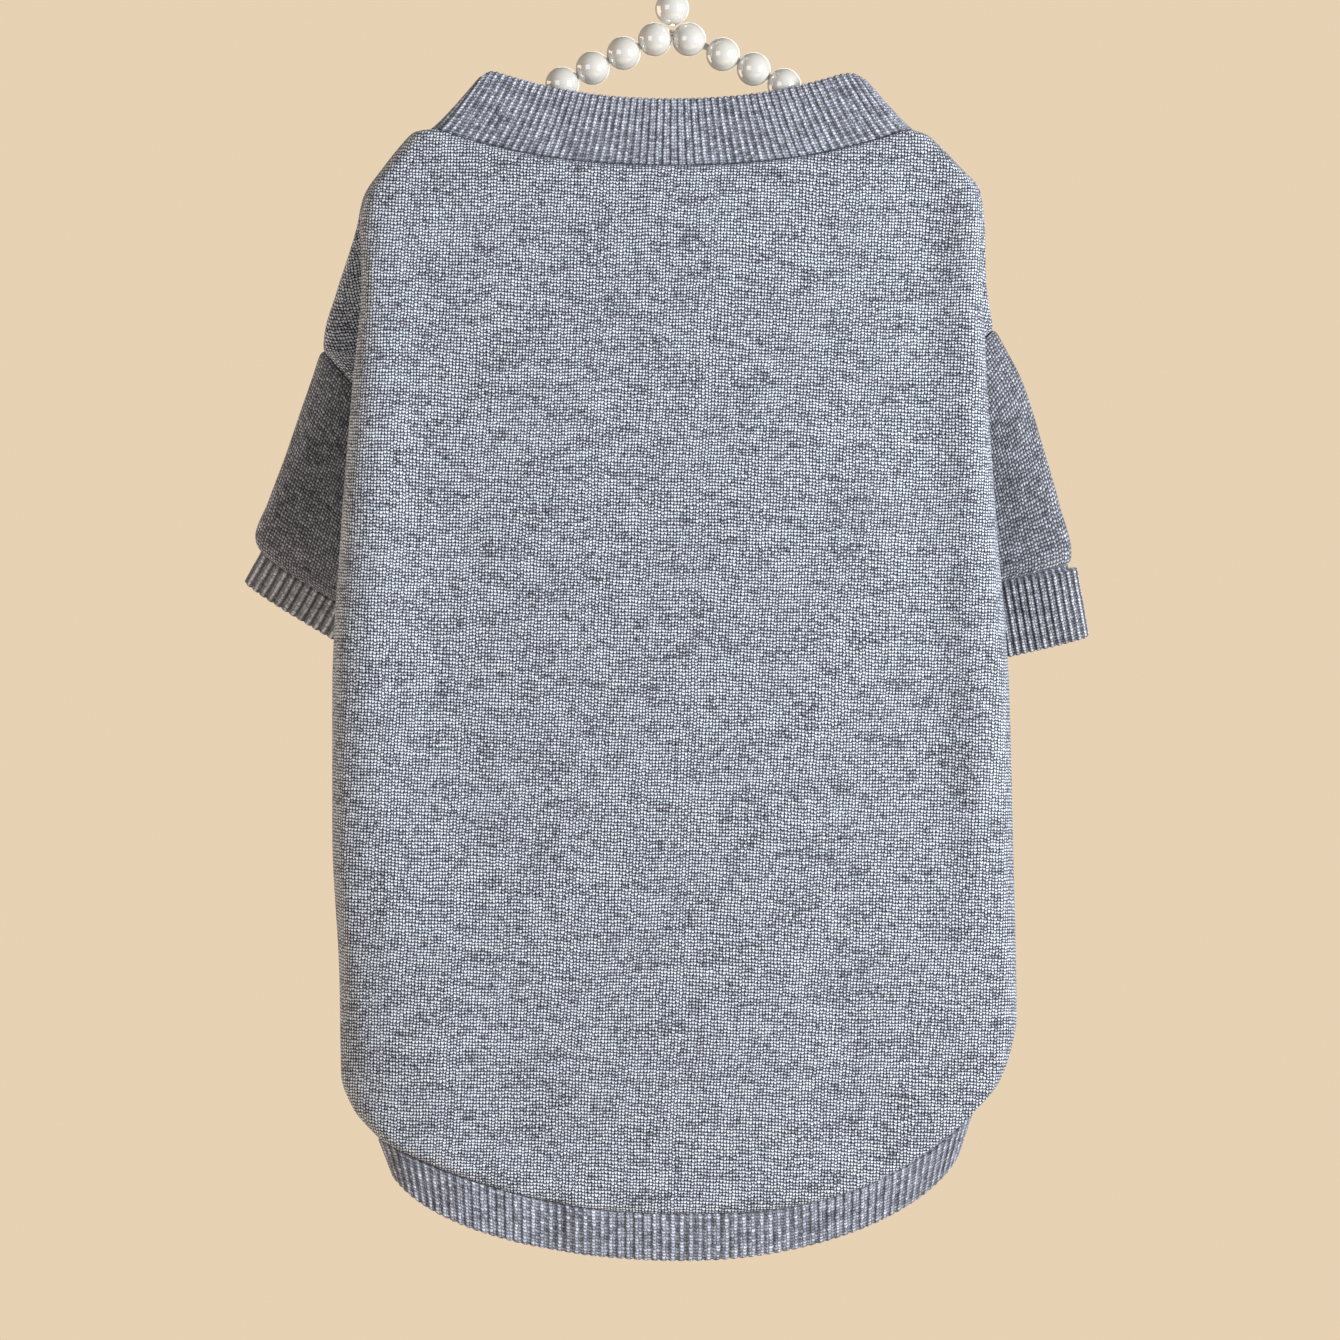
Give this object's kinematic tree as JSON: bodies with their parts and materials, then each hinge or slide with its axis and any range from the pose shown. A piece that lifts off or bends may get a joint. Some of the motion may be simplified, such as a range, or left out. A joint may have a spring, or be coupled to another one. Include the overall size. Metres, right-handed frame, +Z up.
{
  "type": "pet sweatshirt on beaded hanger",
  "caption": "Small dog's heather grey sweatshirt with rib collar, cuffs and hem, hung back side out on a wire hanger strung with pearl beads.",
  "frame": {"origin": "inner crown of the hanger's hook, where a rod or nail carries the whole thing", "axes": "+Z up along the hanging garment's length, +Y through its thickness from the back panel to the belly side, +X towards the right-hand sleeve as seen from the back panel's side"},
  "size_m": [0.2535, 0.0663, 0.4134],
  "materials": {
    "jersey": "heather fleece knit, matt, lightly brushed",
    "rib": "rib knit in the same heather yarn, matt",
    "pearl": "ivory pearl coat, glossy",
    "wire": "bright plated steel wire"
  },
  "bodies": {
    "root": {"arm_wire": "wire", "back_panel": "jersey", "bead_left_1": "pearl", "bead_left_2": "pearl", "bead_left_3": "pearl", "bead_left_4": "pearl", "bead_left_5": "pearl", "bead_left_6": "pearl", "bead_left_7": "pearl", "bead_left_8": "pearl", "bead_right_1": "pearl", "bead_right_2": "pearl", "bead_right_3": "pearl", "bead_right_4": "pearl", "bead_right_5": "pearl", "bead_right_6": "pearl", "bead_right_7": "pearl", "bead_right_8": "pearl", "bead_stem": "pearl", "belly_panel": "jersey", "cuff_left": "rib", "cuff_right": "rib", "hem_band": "rib", "hook_wire": "wire", "neck_band": "rib", "sleeve_left": "jersey", "sleeve_right": "jersey"}
  },
  "joints": []
}
